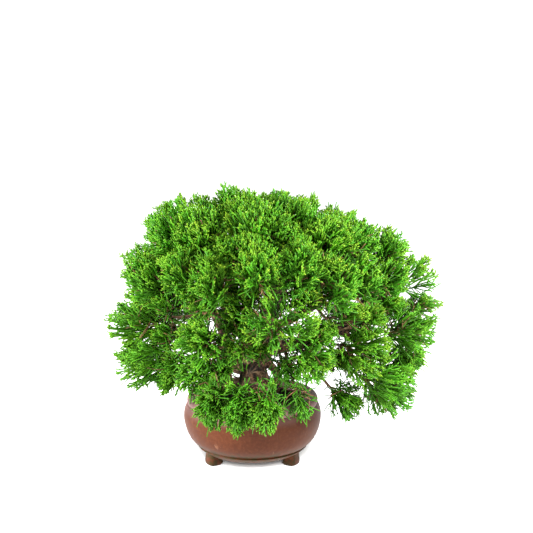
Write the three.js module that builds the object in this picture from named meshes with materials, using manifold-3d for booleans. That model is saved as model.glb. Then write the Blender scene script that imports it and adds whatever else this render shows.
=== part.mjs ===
// Chinese juniper bonsai in a round, three-footed clay pot.
// Millimetres, +Z up. The tree is laid out round the pot's axis, with -Y towards the viewer.
// At the end the whole group is shifted so that its origin is the bottom centre of its box.

import * as THREE from "three";
import { mergeVertices } from "three/addons/utils/BufferGeometryUtils.js";
import Module from "manifold-3d";

const wasm = await Module();
wasm.setup();

// Driving dimensions

const clearance = 0.3;
const pot = {
  sides: 28,
  underside: 14.8,
  baseRadius: 55,
  floorTop: 22.5,
  floorRadius: 50,
  openingRadius: 61,
  footRing: { edge: [59.5, 16.8], outer: [66.2, 21.8], groove: [65.2, 22.8] },
  belly: [[66.2, 23.7], [71, 27.6], [78.2, 38], [82.4, 51], [82.4, 62], [79.8, 70]],
  shoulderGroove: [77.5, 72.5],
  lip: { radius: 70, height: 76, across: 8.6, up: 8, from: -0.25, to: Math.PI * 0.88 },
  lining: [[66, 58], [67, 46], [61, 31]],
};
const rimHeight = pot.lip.height + pot.lip.up;
const potFoot = { sole: 3.5, ringRadius: 54, width: 19, depth: 16, corner: 4.5, height: 18.5, softEdge: 1.5 };
const footAngles = [-150, -30, 90];
const drainHole = { radius: 8, sides: 16 };
const drainMesh = { radius: 12, sides: 20, thickness: 1, holeSize: 3.2, holePitch: 5 };
const soil = {
  sides: 24,
  edgeHeight: 74,
  mound: 3.5,
  lump: 0.9,
  side: [[60, 31.6], [66.2, 46], [65.2, 57.6]],
  rings: [56, 42, 28],
  meshRoom: { radius: 14, height: 4 },
};
const rootPlug = { x: 12, y: -4, topRadius: 19, bottomRadius: 12, top: 82, bottom: 44, sides: 12 };
const heart = new THREE.Vector3(15, 0, 165);

// Scale-leaved shoots about 1.5 mm thick stand out of plumes: the stem and the leaders of a spray.
// A cord is widest at its bulge, a share of its length, and narrows to a point.
const shoot = { radius: 0.95, sides: 3, bulge: 0, spread: 0.42 };
const leader = { radius: 3.1, sides: 4, bulge: 0.42, count: 4, leans: [0.42, 0.08], shoots: 3 };
const stem = { radius: 3.8, sides: 4, bulge: 0.45, base: 1.6, shoots: 3 };
const twig = { rootRadius: 2.8, endRadius: 1.9, sides: 3, steps: 2, detour: 1.6 };
const rootDepth = 0.62;

// Foliage keeps out of this cylinder round the pot.
const potRoom = { radius: 85, top: rimHeight + 2 };

// Solids from three.js geometry, and back

function solidFrom(geometry) {
  geometry.deleteAttribute("normal");
  geometry.deleteAttribute("uv");
  const merged = mergeVertices(geometry, 1e-4);
  const mesh = new wasm.Mesh({
    numProp: 3,
    vertProperties: Float32Array.from(merged.attributes.position.array),
    triVerts: Uint32Array.from(merged.index.array),
  });
  return new wasm.Manifold(mesh);
}

// The joined body without any loose scrap
function largestBody(solid) {
  const bodies = solid.decompose();
  return bodies.reduce((best, body) => (body.volume() > best.volume() ? body : best));
}

function geometryFrom(solid) {
  const mesh = largestBody(solid.simplify(0.06)).getMesh();
  const geometry = new THREE.BufferGeometry();
  geometry.setAttribute("position", new THREE.BufferAttribute(mesh.vertProperties, 3));
  geometry.setIndex(new THREE.BufferAttribute(mesh.triVerts, 1));
  geometry.computeVertexNormals();
  return geometry;
}

function joined(solids) {
  return solids.reduce((whole, next) => whole.add(next));
}

function polygon(radius, sides) {
  const corners = Array.from({ length: sides }, (_, corner) => {
    const angle = (2 * Math.PI * corner) / sides;
    return new THREE.Vector2(radius * Math.cos(angle), radius * Math.sin(angle));
  });
  return new THREE.Shape(corners);
}

// A seeded random stream, so that every run grows the same tree.
function randomStream(seed) {
  let state = seed >>> 0;
  return () => {
    state = (state + 0x6d2b79f5) >>> 0;
    let mixed = state;
    mixed = Math.imul(mixed ^ (mixed >>> 15), mixed | 1);
    mixed ^= mixed + Math.imul(mixed ^ (mixed >>> 7), mixed | 61);
    return ((mixed ^ (mixed >>> 14)) >>> 0) / 4294967296;
  };
}

// Pot

// Outlines are pairs of radius and height.
function corners(places) {
  return places.map(([radius, height]) => new THREE.Vector2(radius, height));
}

function curved(places, steps) {
  return new THREE.SplineCurve(corners(places)).getPoints(steps);
}

function potOutline() {
  const { radius, height, across, up, from, to } = pot.lip;
  const lip = new THREE.EllipseCurve(radius, height, across, up, from, to, false);
  const { edge, outer, groove } = pot.footRing;
  const lining = [[pot.openingRadius, soil.edgeHeight], ...pot.lining, [pot.floorRadius, pot.floorTop]];
  return [
    ...corners([[0, pot.underside], [pot.baseRadius, pot.underside], edge, outer, groove]),
    ...curved(pot.belly, 5),
    ...corners([pot.shoulderGroove]),
    ...lip.getPoints(5),
    ...curved(lining, 3),
    ...corners([[0, pot.floorTop]]),
  ];
}

function turned(outline, sides) {
  return new THREE.LatheGeometry(outline, sides).rotateX(Math.PI / 2);
}

function roundedBlock({ width, depth, corner, height, softEdge }) {
  const halfWidth = width / 2 - softEdge;
  const halfDepth = depth / 2 - softEdge;
  const shape = new THREE.Shape();
  const cornerX = halfWidth - corner;
  const cornerY = halfDepth - corner;
  shape.absarc(cornerX, -cornerY, corner, -Math.PI / 2, 0);
  shape.absarc(cornerX, cornerY, corner, 0, Math.PI / 2);
  shape.absarc(-cornerX, cornerY, corner, Math.PI / 2, Math.PI);
  shape.absarc(-cornerX, -cornerY, corner, Math.PI, Math.PI * 1.5);
  return new THREE.ExtrudeGeometry(shape, {
    depth: height - 2 * softEdge,
    curveSegments: 2,
    bevelThickness: softEdge,
    bevelSize: softEdge,
    bevelSegments: 1,
  }).translate(0, 0, softEdge);
}

function footSolid(angle) {
  const turn = THREE.MathUtils.degToRad(angle);
  const block = roundedBlock(potFoot).translate(0, -potFoot.ringRadius, potFoot.sole);
  return solidFrom(block.rotateZ(turn + Math.PI / 2));
}

function potSolid() {
  const bowl = solidFrom(turned(potOutline(), pot.sides));
  const drill = new THREE.CylinderGeometry(drainHole.radius, drainHole.radius, 40, drainHole.sides);
  const hole = solidFrom(drill.rotateX(Math.PI / 2).translate(0, 0, pot.underside));
  return joined([bowl, ...footAngles.map(footSolid)]).subtract(hole);
}

// Perforated disc over the drain hole, lying on the pot's floor

function drainMeshSolid() {
  const { radius, sides, thickness, holeSize, holePitch } = drainMesh;
  const level = pot.floorTop + clearance + thickness / 2;
  const disc = new THREE.CylinderGeometry(radius, radius, thickness, sides);
  let mesh = solidFrom(disc.rotateX(Math.PI / 2).translate(0, 0, level));
  for (let column = -1; column <= 1; column += 1) {
    for (let row = -1; row <= 1; row += 1) {
      const hole = new THREE.BoxGeometry(holeSize, holeSize, thickness * 3);
      mesh = mesh.subtract(solidFrom(hole.translate(column * holePitch, row * holePitch, level)));
    }
  }
  return mesh;
}

// Soil: fills the pot, with a low lumpy mound, a plain hole for the root and room for the mesh

function soilTop(radius, angle) {
  const share = radius / pot.openingRadius;
  const rise = soil.mound * (1 - share * share);
  const lumps = Math.sin(5 * angle + radius / 4) * Math.cos(3 * angle - radius / 7);
  const flatNearEdge = 1 - share ** 4;
  return soil.edgeHeight + rise + soil.lump * lumps * flatNearEdge;
}

function soilSolid() {
  const bottom = pot.floorTop + clearance + drainMesh.thickness + clearance;
  const side = [[pot.floorRadius - 1, bottom], ...soil.side, [pot.openingRadius - 0.8, soil.edgeHeight - 1]];
  const rings = soil.rings.map((radius) => [radius, soil.edgeHeight]);
  const outline = [
    ...corners([[0, bottom]]),
    ...curved(side, 3),
    ...corners([...rings, [0, soil.edgeHeight]]),
  ];
  const geometry = turned(outline, soil.sides);
  const place = geometry.attributes.position;
  for (let index = 0; index < place.count; index += 1) {
    const x = place.getX(index);
    const y = place.getY(index);
    const radius = Math.hypot(x, y);
    if (place.getZ(index) > soil.edgeHeight - 0.01) {
      place.setZ(index, soilTop(radius, radius < 0.01 ? 0 : Math.atan2(y, x)));
    }
  }
  const { radius, height } = soil.meshRoom;
  const meshRoom = new THREE.CylinderGeometry(radius, radius, height, drainMesh.sides);
  const room = solidFrom(meshRoom.rotateX(Math.PI / 2).translate(0, 0, pot.floorTop));
  return solidFrom(geometry).subtract(room).subtract(solidFrom(plugGeometry(2 * clearance)));
}

function plugGeometry(extra) {
  const height = rootPlug.top - rootPlug.bottom;
  const plug = new THREE.CylinderGeometry(
    rootPlug.topRadius + extra,
    rootPlug.bottomRadius + extra,
    height + 2 * extra,
    rootPlug.sides,
  );
  const middle = (rootPlug.top + rootPlug.bottom) / 2;
  return plug.rotateX(Math.PI / 2).translate(rootPlug.x, rootPlug.y, middle);
}

// Wood: every limb is a list of places along it, with the limb's radius at each

const limbs = {
  trunk: [
    [12, -4, 80, 16],
    [10, -6, 92, 14.5],
    [4, -10, 108, 15],
    [0, -13, 123, 18],
    [8, -9, 142, 14.5],
    [14, -1, 162, 11],
    [26, 5, 196, 8.5],
    [40, 5, 226, 6],
    [34, 4, 250, 4],
  ],
  rootRight: [
    [10, -8, 128, 7],
    [24, -12, 118, 5],
    [31, -13, 102, 4.5],
    [26, -10, 88, 5],
    [21, -8, 78, 5.5],
  ],
  left: [
    [-4, -13, 119, 13],
    [-20, -14, 125, 11],
    [-33, -10, 142, 8],
    [-36, -5, 168, 6],
    [-34, 0, 197, 5],
    [-42, 0, 226, 4],
    [-50, 0, 248, 3],
  ],
  leftLow: [
    [-22, -13, 133, 6],
    [-48, -14, 137, 5],
    [-72, -12, 143, 4],
    [-92, -8, 158, 3],
  ],
  leftHigh: [
    [-35, -3, 176, 5],
    [-56, -8, 193, 4],
    [-80, -12, 206, 3],
  ],
  right: [
    [6, -9, 138, 10],
    [34, -14, 143, 8],
    [64, -19, 150, 6.5],
    [94, -24, 167, 6],
    [115, -25, 173, 6.5],
    [121, -18, 187, 5],
    [137, -9, 200, 4],
    [156, -4, 209, 3],
  ],
  rightArm: [
    [113, -25, 174, 5.5],
    [106, -21, 196, 4.5],
    [103, -14, 216, 3.5],
    [108, -10, 236, 3],
  ],
  rightLow: [
    [98, -24, 168, 5],
    [122, -26, 152, 4],
    [140, -22, 130, 3],
  ],
  frontLow: [
    [2, -14, 118, 8],
    [-4, -42, 124, 6],
    [-10, -66, 122, 4.5],
    [-12, -84, 114, 3],
  ],
  frontHigh: [
    [13, -4, 160, 7],
    [20, -34, 178, 5.5],
    [26, -60, 200, 4],
    [28, -76, 222, 3],
  ],
  backHigh: [
    [24, 4, 190, 6],
    [30, 38, 208, 5],
    [24, 66, 228, 4],
    [18, 78, 246, 3],
  ],
  backLow: [
    [10, -4, 146, 8],
    [16, 34, 152, 6.5],
    [22, 68, 156, 5],
    [20, 92, 160, 3.5],
  ],
  backLeft: [
    [-34, -6, 160, 6],
    [-48, 30, 176, 5],
    [-62, 58, 190, 3.5],
  ],
  backRight: [
    [20, 40, 154, 6],
    [56, 54, 166, 5],
    [88, 66, 182, 3.5],
  ],
};

function alongLimb(places) {
  return new THREE.CatmullRomCurve3(places.map(([x, y, z]) => new THREE.Vector3(x, y, z)), false);
}

// A tube along a curve whose radius follows the list of radii, with slightly lobed sections.
function taperedTube(path, radii, sides, steps, lobe) {
  const tube = new THREE.ExtrudeGeometry(polygon(1, sides), { extrudePath: path, steps });
  const centres = path.getSpacedPoints(steps);
  const place = tube.attributes.position;
  const corner = new THREE.Vector3();
  for (let index = 0; index < place.count; index += 1) {
    corner.fromBufferAttribute(place, index);
    let nearest = 0;
    for (let ring = 1; ring <= steps; ring += 1) {
      if (corner.distanceTo(centres[ring]) < corner.distanceTo(centres[nearest])) {
        nearest = ring;
      }
    }
    const share = (nearest / steps) * (radii.length - 1);
    const before = Math.min(Math.floor(share), radii.length - 2);
    const radius = THREE.MathUtils.lerp(radii[before], radii[before + 1], share - before);
    const offset = corner.clone().sub(centres[nearest]);
    const knots = 1 + lobe * Math.sin(3 * Math.atan2(offset.y, offset.x) + 1.7 * nearest);
    corner.copy(centres[nearest]).addScaledVector(offset, radius * knots);
    place.setXYZ(index, corner.x, corner.y, corner.z);
  }
  return tube;
}

// Pads: the rounded masses of foliage, each with its middle, its half sizes and its sprays

const pads = [
  { name: "crown_left", middle: [-34, 0, 293], half: [38, 48, 38], sprays: 2 },
  { name: "crown_middle", middle: [18, -10, 290], half: [38, 48, 38], sprays: 2 },
  { name: "crown_right", middle: [70, 0, 285], half: [38, 48, 36], sprays: 2 },
  { name: "crown_back", middle: [12, 78, 266], half: [52, 40, 36], sprays: 1 },
  { name: "shoulder_left", middle: [-85, -20, 276], half: [50, 52, 40], sprays: 2 },
  { name: "shoulder_right", middle: [114, -10, 266], half: [36, 48, 36], sprays: 2 },
  { name: "bump_right", middle: [156, 8, 252], half: [30, 38, 30], sprays: 1 },
  { name: "far_right", middle: [190, 0, 220], half: [34, 36, 36], sprays: 1 },
  { name: "right_upper", middle: [154, -18, 222], half: [32, 34, 34], sprays: 1 },
  { name: "right_side", middle: [178, 0, 166], half: [40, 60, 40], sprays: 2 },
  { name: "right_hanging", middle: [156, -20, 102], half: [46, 56, 46], sprays: 2 },
  { name: "right_tassel", middle: [104, -32, 90], half: [26, 24, 32], sprays: 1 },
  { name: "brow_left", middle: [-58, -52, 278], half: [46, 40, 38], sprays: 1 },
  { name: "brow_middle", middle: [12, -62, 284], half: [46, 40, 38], sprays: 1 },
  { name: "brow_right", middle: [78, -54, 272], half: [46, 40, 38], sprays: 1 },
  { name: "front_belt", middle: [31, -106, 248], half: [54, 40, 38], sprays: 2 },
  { name: "front_left", middle: [-54, -86, 236], half: [46, 42, 38], sprays: 2 },
  { name: "front_right", middle: [104, -78, 228], half: [46, 44, 36], sprays: 2 },
  { name: "front_middle", middle: [30, -106, 192], half: [52, 32, 34], sprays: 1 },
  { name: "front_low_left", middle: [-52, -84, 166], half: [40, 36, 36], sprays: 1 },
  { name: "front_low_right", middle: [64, -70, 148], half: [44, 32, 40], sprays: 1 },
  { name: "right_inner", middle: [124, -42, 146], half: [40, 34, 40], sprays: 1 },
  { name: "left_inner", middle: [-54, -68, 128], half: [44, 32, 32], sprays: 1 },
  { name: "centre_left", middle: [-10, -66, 204], half: [36, 30, 42], sprays: 1 },
  { name: "over_pot_right", middle: [54, -96, 108], half: [24, 26, 32], sprays: 1 },
  { name: "over_pot", middle: [-12, -112, 104], half: [56, 34, 36], sprays: 3 },
  { name: "left_high", middle: [-112, -16, 226], half: [46, 64, 36], sprays: 2 },
  { name: "left_side", middle: [-124, 0, 174], half: [46, 64, 36], sprays: 2 },
  { name: "left_low", middle: [-112, -18, 130], half: [46, 58, 33], sprays: 2 },
  { name: "back_left", middle: [-74, 84, 232], half: [48, 44, 42], sprays: 2 },
  { name: "back_right", middle: [98, 84, 236], half: [50, 44, 42], sprays: 2 },
  { name: "back_middle", middle: [14, 122, 204], half: [52, 36, 42], sprays: 2 },
  { name: "back_low_left", middle: [-82, 92, 156], half: [48, 42, 40], sprays: 1 },
  { name: "back_low_right", middle: [118, 88, 158], half: [50, 42, 42], sprays: 1 },
  { name: "back_low", middle: [20, 122, 128], half: [52, 34, 36], sprays: 1 },
];

function reachOf(half, direction) {
  const [x, y, z] = half;
  return 1 / Math.hypot(direction.x / x, direction.y / y, direction.z / z);
}

// The sprays of a pad stand side by side across the way that the pad faces.
function spraysOf(pad) {
  const middle = new THREE.Vector3(...pad.middle);
  const out = middle.clone().sub(heart).normalize();
  const across = new THREE.Vector3(-out.y, out.x, 0);
  if (across.length() < 0.45) {
    across.set(1, 0, 0);
  }
  across.addScaledVector(out, -across.dot(out)).normalize();
  const upward = new THREE.Vector3().crossVectors(out, across);
  const acrossReach = reachOf(pad.half, across);
  const width = [1, 0.6, 0.46][pad.sprays - 1];
  return Array.from({ length: pad.sprays }, (_, index) => {
    const slot = pad.sprays > 1 ? (2 * index) / (pad.sprays - 1) - 1 : 0;
    const offset = slot * acrossReach * (1 - width);
    const centre = middle.clone().addScaledVector(across, offset);
    return {
      name: `spray_${pad.name}_${index + 1}`,
      centre,
      out: centre.clone().sub(heart).normalize().lerp(out, 0.5).normalize(),
      across,
      upward,
      reach: {
        out: reachOf(pad.half, out),
        across: acrossReach * width,
        upward: reachOf(pad.half, upward),
      },
    };
  });
}

const sprays = pads.flatMap(spraysOf);

// Straight cords already placed, so that nothing new crosses them

const placed = [];

function gapBetween(a, b, c, d) {
  const u = b.clone().sub(a);
  const v = d.clone().sub(c);
  const w = a.clone().sub(c);
  const uu = u.dot(u);
  const uv = u.dot(v);
  const vv = v.dot(v);
  const uw = u.dot(w);
  const vw = v.dot(w);
  const spread = uu * vv - uv * uv;
  let s = spread > 1e-9 ? THREE.MathUtils.clamp((uv * vw - vv * uw) / spread, 0, 1) : 0;
  const t = THREE.MathUtils.clamp((uv * s + vw) / vv, 0, 1);
  s = THREE.MathUtils.clamp((uv * t - uw) / uu, 0, 1);
  return a.clone().addScaledVector(u, s).distanceTo(c.clone().addScaledVector(v, t));
}

// The stretches of a cord, each with the largest radius that it has there
function stretches(start, end, { radius, bulge }) {
  const widthAt = (share) => {
    return radius * (share < bulge ? Math.max(share / bulge, 0.35) : (1 - share) / (1 - bulge));
  };
  const cuts = [0, 0.25, 0.5, 0.75, 1];
  return cuts.slice(1).map((share, index) => {
    const before = cuts[index];
    const widest = THREE.MathUtils.clamp(bulge, before, share);
    return {
      start: start.clone().lerp(end, before),
      end: start.clone().lerp(end, share),
      radius: Math.max(widthAt(before), widthAt(share), widthAt(widest)),
    };
  });
}

function isClear(owner, start, end, size) {
  for (const stretch of stretches(start, end, size)) {
    for (const other of placed) {
      if (other.owner === owner) {
        continue;
      }
      const room = stretch.radius + other.radius + 1.5 * clearance;
      if (gapBetween(stretch.start, stretch.end, other.start, other.end) < room) {
        return false;
      }
    }
    const { x, y, z } = stretch.end;
    if (z < potRoom.top + stretch.radius && Math.hypot(x, y) < potRoom.radius + stretch.radius) {
      return false;
    }
  }
  return true;
}

function keep(owner, start, end, radius) {
  placed.push({ owner, start: start.clone(), end: end.clone(), radius });
}

// A straight spindle from start to end, pointed at both ends unless it has a flat base.
function cord(start, end, { radius, sides, bulge, base = 0 }) {
  const length = start.distanceTo(end);
  const profile = [new THREE.Vector2(0, 0)];
  if (base > 0) {
    profile.push(new THREE.Vector2(base, 0));
  }
  profile.push(new THREE.Vector2(radius, bulge * length), new THREE.Vector2(0, length));
  const spindle = new THREE.LatheGeometry(profile, sides);
  const way = end.clone().sub(start).normalize();
  const turn = new THREE.Quaternion().setFromUnitVectors(new THREE.Vector3(0, 1, 0), way);
  return solidFrom(spindle.applyQuaternion(turn).translate(start.x, start.y, start.z));
}

function woodSolid() {
  const parts = [solidFrom(plugGeometry(0))];
  const starts = [];
  for (const [name, places] of Object.entries(limbs)) {
    const path = alongLimb(places);
    const radii = places.map((place) => place[3]);
    const thick = name === "trunk";
    const steps = thick ? 12 : Math.ceil((places.length - 1) * 1.5);
    parts.push(solidFrom(taperedTube(path, radii, thick ? 10 : 6, steps, thick ? 0.12 : 0.08)));
    const points = path.getSpacedPoints(steps * 2);
    points.forEach((point, index) => {
      const share = (index / (points.length - 1)) * (radii.length - 1);
      const radius = radii[Math.round(share)];
      if (index > 0) {
        keep("wood", points[index - 1], point, radius * 1.2);
      }
      if (radius < 9 && index > 1) {
        starts.push({ point, radius });
      }
    });
  }
  for (const spray of sprays) {
    const end = spray.centre.clone().addScaledVector(spray.out, -rootDepth * spray.reach.out);
    const cost = (start) => {
      const way = end.clone().sub(start.point);
      return twig.detour * way.length() - way.dot(spray.out);
    };
    const origin = starts.reduce((best, start) => (cost(start) < cost(best) ? start : best));
    const bend = origin.point.clone().lerp(end, 0.5).addScaledVector(spray.out, -3);
    const straight = end.clone().addScaledVector(spray.out, -6);
    const path = new THREE.CatmullRomCurve3([origin.point, bend, straight, end]);
    const rootRadius = Math.min(twig.rootRadius, origin.radius * 0.8);
    const radii = [rootRadius, twig.endRadius];
    parts.push(solidFrom(taperedTube(path, radii, twig.sides, twig.steps, 0)));
    path.getSpacedPoints(6).forEach((point, index, points) => {
      if (index > 0) {
        keep("wood", points[index - 1], point, twig.rootRadius);
      }
    });
    spray.root = end;
  }
  return joined(parts);
}

// A spray: a stem, leaders that branch off it, and shoots on both. Every tip lies on one shell.

function onShell(spray, direction, share) {
  return spray.centre
    .clone()
    .addScaledVector(spray.across, direction.x * share * spray.reach.across)
    .addScaledVector(spray.upward, direction.y * share * spray.reach.upward)
    .addScaledVector(spray.out, direction.z * share * spray.reach.out);
}

function tilted(direction, spread, turn) {
  const side = new THREE.Vector3(direction.y, -direction.x, 0.01).normalize();
  const other = new THREE.Vector3().crossVectors(direction, side);
  return direction
    .clone()
    .multiplyScalar(Math.cos(spread))
    .addScaledVector(side, Math.sin(spread) * Math.cos(turn))
    .addScaledVector(other, Math.sin(spread) * Math.sin(turn))
    .normalize();
}

function spraySolid(spray, seed) {
  const random = randomStream(seed);
  const vary = (size) => (random() * 2 - 1) * size;
  const parts = [];

  const place = (start, end, size) => {
    for (const stretch of stretches(start, end, size)) {
      keep(spray.name, stretch.start, stretch.end, stretch.radius);
    }
    parts.push(cord(start, end, size));
  };
  // Tries a few ends, each a little shorter and turned further, until one crosses nothing.
  const grow = (start, direction, size) => {
    for (let attempt = 0; attempt < 14; attempt += 1) {
      const turned = tilted(direction, 0.06 * attempt, random() * 2 * Math.PI);
      const end = onShell(spray, turned, 0.97 + vary(0.05) - 0.025 * attempt);
      if (isClear(spray.name, start, end, size)) {
        place(start, end, size);
        return end;
      }
    }
    return null;
  };

  const forward = new THREE.Vector3(0, 0, 1);
  const root = spray.root.clone().addScaledVector(spray.out, clearance);
  const top = onShell(spray, forward, 1);
  place(root, top, stem);
  const carriers = [{ start: root, end: top, direction: forward, ...stem }];
  const spin = random() * 2 * Math.PI;
  for (let index = 0; index < leader.count; index += 1) {
    const start = root.clone().lerp(top, 0.12 + (0.3 * index) / leader.count);
    const lean = leader.leans[index % leader.leans.length] + vary(0.12);
    const turn = spin + (2 * Math.PI * index) / leader.count + vary(0.2);
    const flat = Math.sqrt(1 - lean * lean);
    const direction = new THREE.Vector3(flat * Math.cos(turn), flat * Math.sin(turn), lean);
    const end = grow(start, direction, leader);
    if (end) {
      carriers.push({ start, end, direction, ...leader });
    }
  }
  for (const carrier of carriers) {
    for (let index = 0; index < carrier.shoots; index += 1) {
      const start = carrier.start.clone().lerp(carrier.end, 0.38 + 0.14 * index);
      const turn = spin + (2 * Math.PI * index) / carrier.shoots + vary(0.4);
      grow(start, tilted(carrier.direction, shoot.spread, turn), shoot);
    }
  }
  return joined(parts);
}

// Materials and assembly

const materials = {
  clay: { color: 0x7d5343, roughness: 0.62, metalness: 0 },
  soil: { color: 0x1e1510, roughness: 0.95, metalness: 0 },
  bark: { color: 0x4f3626, roughness: 0.9, metalness: 0 },
  plastic: { color: 0x20211f, roughness: 0.6, metalness: 0 },
  foliage: { color: 0x3f8f1c, roughness: 0.55, metalness: 0 },
};

const tree = new THREE.Group();

function addPiece(name, solid, material) {
  const mesh = new THREE.Mesh(geometryFrom(solid), new THREE.MeshStandardMaterial(material));
  mesh.name = name;
  tree.add(mesh);
}

addPiece("pot", potSolid(), materials.clay);
addPiece("drain_mesh", drainMeshSolid(), materials.plastic);
addPiece("soil", soilSolid(), materials.soil);
addPiece("trunk_and_branches", woodSolid(), materials.bark);
sprays.forEach((spray, index) => {
  addPiece(spray.name, spraySolid(spray, 101 + index), materials.foliage);
});

const box = new THREE.Box3().setFromObject(tree);
const centre = box.getCenter(new THREE.Vector3());
tree.position.set(-centre.x, -centre.y, -box.min.z);

const bonsai = new THREE.Group();
bonsai.add(tree);

export default bonsai;
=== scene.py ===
"""Chinese juniper bonsai in a round, three-footed clay pot: the dressed model in a plain studio.

Lengths are millimetres measured from the pot's axis, with X to the right and Y away from the
camera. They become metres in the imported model's place only when a mesh is made. Materials measure
their textures in metres.
"""

import math

import bpy
import numpy as np
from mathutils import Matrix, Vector, kdtree, noise


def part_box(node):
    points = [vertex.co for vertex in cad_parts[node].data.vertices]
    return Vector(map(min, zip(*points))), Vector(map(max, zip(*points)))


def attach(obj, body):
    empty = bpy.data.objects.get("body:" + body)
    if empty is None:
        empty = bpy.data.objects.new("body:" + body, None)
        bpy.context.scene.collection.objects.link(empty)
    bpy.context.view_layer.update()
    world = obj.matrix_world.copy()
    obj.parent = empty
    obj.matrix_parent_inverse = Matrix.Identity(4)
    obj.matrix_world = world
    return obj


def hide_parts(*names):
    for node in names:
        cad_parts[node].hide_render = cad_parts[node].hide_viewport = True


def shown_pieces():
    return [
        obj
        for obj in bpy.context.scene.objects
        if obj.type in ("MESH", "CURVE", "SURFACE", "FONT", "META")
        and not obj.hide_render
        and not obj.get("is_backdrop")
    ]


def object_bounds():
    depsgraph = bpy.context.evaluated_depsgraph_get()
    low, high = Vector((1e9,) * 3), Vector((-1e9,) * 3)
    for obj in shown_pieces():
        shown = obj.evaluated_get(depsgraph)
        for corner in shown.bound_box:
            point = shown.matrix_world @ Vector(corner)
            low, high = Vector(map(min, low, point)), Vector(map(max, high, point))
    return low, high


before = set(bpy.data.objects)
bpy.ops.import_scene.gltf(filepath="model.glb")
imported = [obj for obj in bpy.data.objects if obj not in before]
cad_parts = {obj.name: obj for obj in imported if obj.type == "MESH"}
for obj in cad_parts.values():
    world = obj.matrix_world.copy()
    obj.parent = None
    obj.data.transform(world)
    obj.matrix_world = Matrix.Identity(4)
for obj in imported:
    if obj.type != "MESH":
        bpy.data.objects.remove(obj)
cad_low, cad_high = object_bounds()

MM = 0.001
GROUND = 3.5
pot_low, pot_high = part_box("pot")
ORIGIN = np.array([(pot_low.x + pot_high.x) / 2, (pot_low.y + pot_high.y) / 2, pot_low.z - GROUND * MM])


# Camera: 1.35 m in front of the pot, higher than the tree and tilted 10 degrees down

IMAGE_SIDE = 533
FOCAL_PIXELS = 1166.7
SENSOR_WIDTH = 36.0
CAMERA_PLACE = np.array([16.8, -1354.0, 476.0])
CAMERA_PITCH = math.radians(10)


def in_frame(points):
    """Millimetres from the pot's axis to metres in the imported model's frame."""
    return np.asarray(points, float) * MM + ORIGIN


def add_camera():
    data = bpy.data.cameras.new("camera")
    data.sensor_width = SENSOR_WIDTH
    data.lens = SENSOR_WIDTH * FOCAL_PIXELS / IMAGE_SIDE
    data.clip_start = 0.05
    data.clip_end = 50
    camera = bpy.data.objects.new("camera", data)
    camera.location = Vector(in_frame(CAMERA_PLACE))
    camera.rotation_euler = (math.pi / 2 - CAMERA_PITCH, 0, 0)
    bpy.context.scene.collection.objects.link(camera)
    bpy.context.scene.camera = camera


def in_picture(points):
    """Pixels, across and down, at which the camera sees points given in millimetres."""
    offset = np.asarray(points, float) - CAMERA_PLACE
    depth = offset[:, 1] * math.cos(CAMERA_PITCH) - offset[:, 2] * math.sin(CAMERA_PITCH)
    height = offset[:, 1] * math.sin(CAMERA_PITCH) + offset[:, 2] * math.cos(CAMERA_PITCH)
    across = IMAGE_SIDE / 2 + FOCAL_PIXELS * offset[:, 0] / depth
    down = IMAGE_SIDE / 2 - FOCAL_PIXELS * height / depth
    return across, down


# Meshes from arrays

# A way that no tube runs along, from which the turn of its sides is measured
ODD_WAY = (0.31, 0.52, 0.8)
# How far a tube's ends stand out of their last rings, in radii
TIP_BULGE = 0.7
BASE_BULGE = 0.3


def unit(vectors):
    vectors = np.asarray(vectors, float)
    return vectors / np.maximum(np.linalg.norm(vectors, axis=-1, keepdims=True), 1e-9)


def dots(first, second):
    """The dot product of each row of first with the same row of second."""
    return np.einsum("ij,ij->i", first, second)


def level_way(turn):
    """A level way at a turn from X towards Y."""
    return np.array([math.cos(turn), math.sin(turn), 0])


def circled(turn, side, other):
    """Ways at the given turns from side towards other."""
    return np.cos(turn)[:, None] * side + np.sin(turn)[:, None] * other


def noise_at(places):
    """Smooth noise of about -1 to 1, with features about 1 across, at each place."""
    return np.array([noise.noise(Vector(place)) for place in places])


def colour_rows(red, green, blue):
    """A colour for each point, from channels that are each a number or one value per point."""
    return np.stack(np.broadcast_arrays(red, green, blue, 1.0), axis=1)


def mesh_object(name, points, faces, attributes=None):
    """A smooth mesh object. Faces all have the same number of corners; attributes are per point."""
    points = np.ascontiguousarray(in_frame(points), dtype=np.float32)
    faces = np.ascontiguousarray(faces, dtype=np.int32)
    count, corners = faces.shape
    mesh = bpy.data.meshes.new(name)
    mesh.vertices.add(len(points))
    mesh.vertices.foreach_set("co", points.ravel())
    mesh.loops.add(count * corners)
    mesh.loops.foreach_set("vertex_index", faces.ravel())
    mesh.polygons.add(count)
    mesh.polygons.foreach_set("loop_start", np.arange(0, count * corners, corners, dtype=np.int32))
    mesh.polygons.foreach_set("use_smooth", np.ones(count, dtype=bool))
    mesh.update(calc_edges=True)
    for attribute, values in (attributes or {}).items():
        layer = mesh.color_attributes.new(attribute, "FLOAT_COLOR", "POINT")
        layer.data.foreach_set("color", np.ascontiguousarray(values, dtype=np.float32).ravel())
    made = bpy.data.objects.new(name, mesh)
    bpy.context.scene.collection.objects.link(made)
    return made


def dress(piece, material, slot, *nodes):
    """Gives a piece its material, makes it ride on the body and stand for its solids."""
    piece.data.materials.append(material)
    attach(piece, "root")
    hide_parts(*nodes)


def ring_faces(rings, sides):
    """Triangles between neighbouring rings of points, facing outward."""
    ring, side = np.meshgrid(np.arange(rings - 1), np.arange(sides))
    ring, side = ring.ravel(), side.ravel()
    after = (side + 1) % sides
    low, high = ring * sides, (ring + 1) * sides
    quads = np.stack([low + side, low + after, high + after, high + side], axis=1)
    return in_triangles(quads)


def in_triangles(quads):
    return np.vstack([quads[:, [0, 1, 2]], quads[:, [0, 2, 3]]])


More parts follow.
